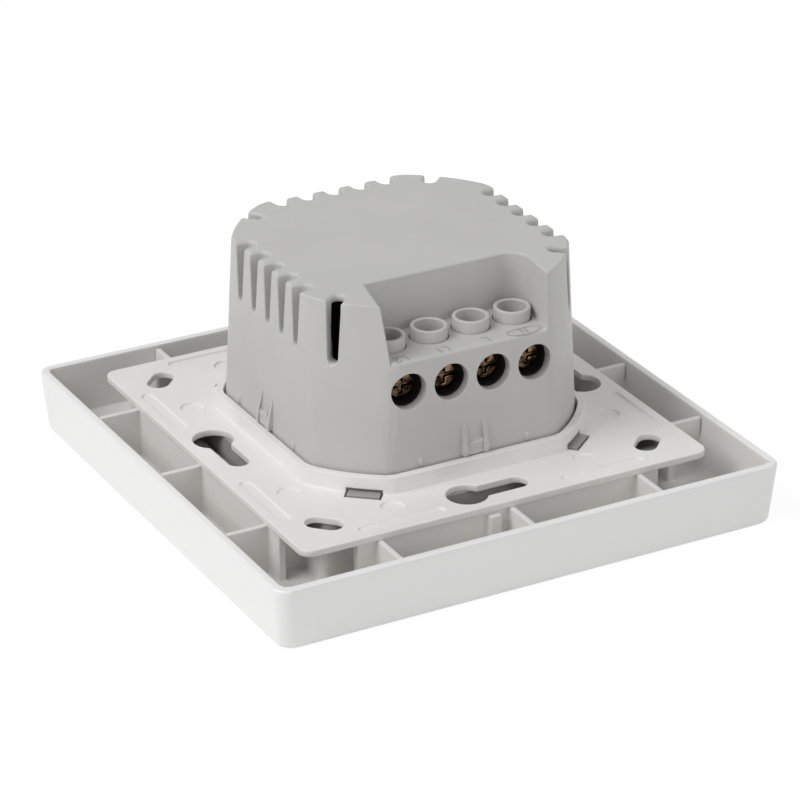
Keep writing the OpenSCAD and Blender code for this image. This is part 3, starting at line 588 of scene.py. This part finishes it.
# Transformer: a sintered ferrite core round a bobbin that is wound with amber tape.
# Its pins are soldered into the power board.
ferrite = moulded("ferrite", grey(74, 0.05), 0.62, grain=0.15 * MM, depth=0.02 * MM, mottle=0.12)
core_middle = -4.2 * MM
tape_half = 4.05 * MM
tape_width = 1.6 * MM
beside_core = ferrite.axis("Y") - core_middle
on_tape = beside_core.math("ABSOLUTE", beside_core).ramp(tape_half - 0.05 * MM, tape_half, 1.0, 0.0)
layers = ferrite.axis("Z") * (2 * math.pi / tape_width)
wrap = layers.math("SINE", layers).ramp(-1.0, 1.0)
amber = ferrite.blend(wrap, colour(190, 140, 40), colour(214, 170, 66))
sinter = ferrite.blend(ferrite.noise(0.5 * MM).ramp(0.4, 0.6), grey(62, 0.05), grey(84, 0.05))
ferrite.surface(
    Base_Color=ferrite.blend(on_tape, sinter, amber),
    Roughness=on_tape.ramp(0.0, 1.0, 0.62, 0.3),
)
rounded("transformer", "transformer_core", "housing", ferrite, 0.25 * MM)


# Reservoir capacitor: a can in a dark shrink sleeve, with a pale polarity band and a bare scored top.
# It stands on the power board, soldered in by its two leads.
sleeve = moulded("black_sleeve", colour(26, 26, 44), 0.24, depth=0.006 * MM, coat=0.2)
can_x, can_y, can_top, can_r = (value * MM for value in (10.6, 6.7, 34.6, 4.0))
off_x, off_y = sleeve.axis("X") - can_x, sleeve.axis("Y") - can_y
off_axis = (off_x * off_x + off_y * off_y) ** 0.5
bare_top = off_axis.ramp(can_r - 0.75 * MM, can_r - 0.65 * MM, 1.0, 0.0)
bare_top = bare_top * sleeve.axis("Z").ramp(can_top - 0.4 * MM, can_top - 0.35 * MM)
band = off_y.ramp(-can_r * 0.9, -can_r * 0.88, 1.0, 0.0)
dark_sleeve = sleeve.blend(sleeve.noise(2 * MM).ramp(0.3, 0.7), colour(22, 22, 38), colour(34, 34, 54))
sleeve.surface(
    Base_Color=sleeve.blend(bare_top, sleeve.blend(band, dark_sleeve, colour(176, 178, 184)), grey(206)),
    Metallic=bare_top,
    Roughness=bare_top.ramp(0.0, 1.0, 0.24, 0.36),
)
can = "reservoir_capacitor"
rounded(can, f"{can}_can", "housing", sleeve, 0.35 * MM, steps=3)


# Filter capacitor: wound film in a yellow plastic box filled with resin.
# It stands on the power board, soldered in by its leads.
yellow_box = moulded("yellow_box", colour(226, 178, 44), 0.36, depth=0.008 * MM, mottle=0.05)
rounded("filter_capacitor", "filter_capacitor_box", "housing", yellow_box, 0.3 * MM)


# Varistor: a ceramic disc dipped in blue epoxy, lumpy and glossy.
# It stands on the power board on two soldered leads.
blue_dip = moulded(
    "blue_dip", colour(30, 78, 160), 0.25, grain=1.6 * MM, depth=0.12 * MM, coat=0.3, mottle=0.1
)
rounded("varistor", "varistor_disc", "housing", blue_dip, 0.5 * MM, steps=3)


# Fuse resistor: a body with flameproof green lacquer, colour rings and tinned leads.
# It lies over the power board and is soldered in by its leads.
resistor = moulded(
    "resistor_green", colour(96, 138, 112), 0.55, grain=0.12 * MM, depth=0.015 * MM, mottle=0.06
)
rings = {9.0: (122, 72, 34), 10.2: (24, 24, 24), 11.4: (206, 160, 40), 12.8: (190, 160, 84)}
ring_half, ring_fade = 0.28 * MM, 0.34 * MM
lacquer = resistor.noise(0.6 * MM).ramp(0.3, 0.7)
ring_tone = resistor.blend(lacquer, colour(88, 130, 104), colour(104, 146, 120))
for ring_x, tone in rings.items():
    off_ring = resistor.axis("X") - ring_x * MM
    on_ring = off_ring.math("ABSOLUTE", off_ring).ramp(ring_half, ring_fade, 1.0, 0.0)
    ring_tone = resistor.blend(on_ring, ring_tone, colour(*tone))
lead_top = 21.05 * MM
on_lead = resistor.axis("Z").ramp(lead_top - 0.05 * MM, lead_top, 1.0, 0.0)
resistor.surface(
    Base_Color=resistor.blend(on_lead, ring_tone, grey(190)),
    Metallic=on_lead,
    Roughness=on_lead.ramp(0.0, 1.0, 0.55, 0.3),
)
rounded("fuse_resistor", "fuse_resistor_body", "housing", resistor, 0.4 * MM, steps=3)


# Rectifier and header socket: black moulded parts, soldered to the underside of the power board.
# The socket takes the pins that stand on the logic board.
part_black = moulded("part_black", grey(44), 0.5, grain=0.12 * MM, depth=0.008 * MM, mottle=0.06)
rounded("rectifier", "rectifier_package", "housing", part_black, 0.12 * MM)
rounded("header_socket", "header_socket_moulding", "housing", part_black, 0.08 * MM)


# Pin header: gold-plated square pins in a black plastic strip, soldered to the logic board.
# It carries the supply and the relays' signals between the two boards.
pins = metal("gold_pins", colour(226, 190, 104), 0.22, colour(196, 156, 78), grain=0.12 * MM)
strip_top = 12.72 * MM
in_strip = pins.axis("Z").ramp(strip_top, strip_top + 0.02 * MM, 1.0, 0.0)
gilt = pins.blend(pins.noise(0.8 * MM).ramp(0.3, 0.7), colour(226, 190, 104), colour(204, 164, 84))
pins.surface(
    Base_Color=pins.blend(in_strip, gilt, grey(34)),
    Metallic=in_strip.ramp(0.0, 1.0, 1.0, 0.0),
    Roughness=in_strip.ramp(0.0, 1.0, 0.22, 0.5),
)
rounded("pin_header", "pin_header_strip", "housing", pins, 0.05 * MM)


# Insulation sheet: a thin fibre board, mottled by its fibres, that keeps the mains side apart.
# It lies between the two circuit boards, threaded on the tubes round the case screws.
fibre_sheet = moulded("fibre_sheet", colour(232, 226, 204), 0.66, depth=0.01 * MM)
strands = fibre_sheet.noise(0.5 * MM, 5.0, (1.0, 0.12, 1.0)).ramp(0.42, 0.62)
fibre_sheet.surface(Base_Color=fibre_sheet.blend(strands, colour(236, 231, 212), colour(214, 206, 178)))
rounded("insulation_sheet", "insulation_sheet_board", "housing", fibre_sheet, 0.05 * MM)


# Push switches: black plastic bodies soldered to the logic board.
# Each has a pale plunger that its button presses.
plunger_grey = moulded("plunger_grey", grey(218, 0.02), 0.34, depth=0.004 * MM)
for side in ("left", "right"):
    switch, plunger = f"push_switch_{side}", f"plunger_{side}"
    rounded(switch, f"{switch}_body", "housing", part_black, 0.15 * MM)
    rounded(plunger, f"{plunger}_stem", f"{plunger}_body", plunger_grey, 0.2 * MM, steps=3)


# Radio shield and antenna: a drawn can of tinned sheet and a bent gold-plated strip.
# Both are soldered to the logic board.
tin = metal("tin", grey(206, 0.01), 0.3, grey(178, 0.01), grain=0.5 * MM)
rounded("radio_shield", "radio_shield_can", "housing", tin, 0.12 * MM)
plated = metal("antenna_plating", colour(222, 190, 116), 0.26, colour(196, 160, 92))
rounded("antenna", "antenna_strip", "housing", plated, 0.08 * MM)


# Indicator lamps: small lamps behind the light bars, yellowed by their phosphor.
# They are soldered to the face of the logic board.
phosphor = moulded(
    "led", colour(240, 232, 180), 0.2, grain=0.1 * MM, depth=0.003 * MM, coat=0.4, mottle=0.04
)
for side in ("left", "right"):
    rounded(f"led_{side}", f"led_{side}_package", "housing", phosphor, 0.1 * MM)


# Case screws and pivot pins: zinc-plated steel, lightly streaked by turning.
# The screws join the front shell and the rear housing; the pins carry the buttons in the front shell.
steel = metal("steel", grey(196, -0.01), 0.26, grey(168, -0.01))
rounded("case_screws", "case_screws_turned", "housing", steel, 0.12 * MM)
for side in ("left", "right"):
    rounded(f"pivot_pin_{side}", f"pivot_pin_{side}_turned", "housing", steel, 0.12 * MM)
